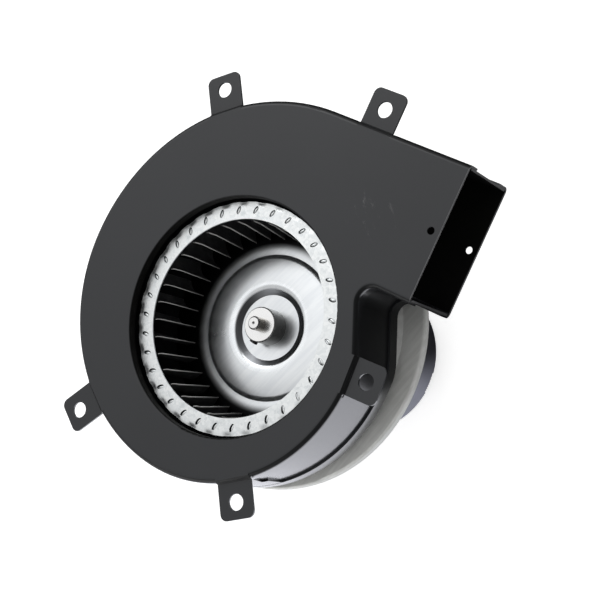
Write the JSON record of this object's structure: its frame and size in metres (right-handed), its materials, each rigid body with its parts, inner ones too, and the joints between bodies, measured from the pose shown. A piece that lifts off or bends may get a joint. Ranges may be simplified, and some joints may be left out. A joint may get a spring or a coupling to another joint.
{
  "type": "blower motor",
  "caption": "Single-inlet centrifugal blower: forward-curved wheel in a folded sheet scroll housing with fixing ears, driven by a round motor on a mounting plate.",
  "frame": {"origin": "on the shaft axis, in the plane of the housing's front face, at the middle of the inlet", "axes": "+Z along the shaft, out of the inlet; +X the way the air leaves the outlet; +Y towards the straight top wall of the outlet duct"},
  "size_m": [0.2149, 0.2508, 0.176],
  "materials": {
    "housing_paint": "satin black paint over sheet steel",
    "motor_paint": "glossy black enamel",
    "plate_zinc": "dull galvanised sheet, brushed",
    "wheel_zinc": "bright galvanised sheet with spangle",
    "hub_steel": "turned steel, zinc plated",
    "shaft_steel": "ground steel",
    "screw_steel": "zinc plated",
    "black_steel": "black oxide",
    "lamination": "stacked silicon steel",
    "copper_wire": "enamelled copper wire, varnished",
    "cast_aluminium": "as cast",
    "bearing_bronze": "sintered bronze",
    "spring_steel": "plain spring steel",
    "felt": "oiled wool felt",
    "fibre": "vulcanised fibre",
    "rubber": "moulded rubber"
  },
  "bodies": {
    "housing": {"front_cover": "housing_paint", "scroll_wrapper": "housing_paint", "back_cover": "housing_paint", "motor_plate": "plate_zinc", "plate_screws": "screw_steel", "front_bell": "motor_paint", "rear_bell": "motor_paint", "motor_shell": "motor_paint", "lead_grommet": "rubber", "stator_core": "lamination", "stator_windings": "copper_wire", "front_bearing": "bearing_bronze", "rear_bearing": "bearing_bronze", "bearing_felts": "felt", "bearing_retainers": "spring_steel", "motor_bolts": "screw_steel", "bolt_nuts": "screw_steel"},
    "rotor": {"wheel_front_ring": "wheel_zinc", "wheel_blades": "wheel_zinc", "wheel_back_disc": "wheel_zinc", "wheel_hub": "hub_steel", "hub_set_screw": "black_steel", "shaft": "shaft_steel", "thrust_washers": "fibre", "shaft_clips": "black_steel", "rotor_core": "lamination", "rotor_end_rings": "cast_aluminium"}
  },
  "joints": [
    {"name": "rotor_spin", "type": "hinge", "parent": "housing", "child": "rotor", "pos_m": [0, 0, -0.06], "axis": [0, 0, -1], "continuous": true}
  ]
}
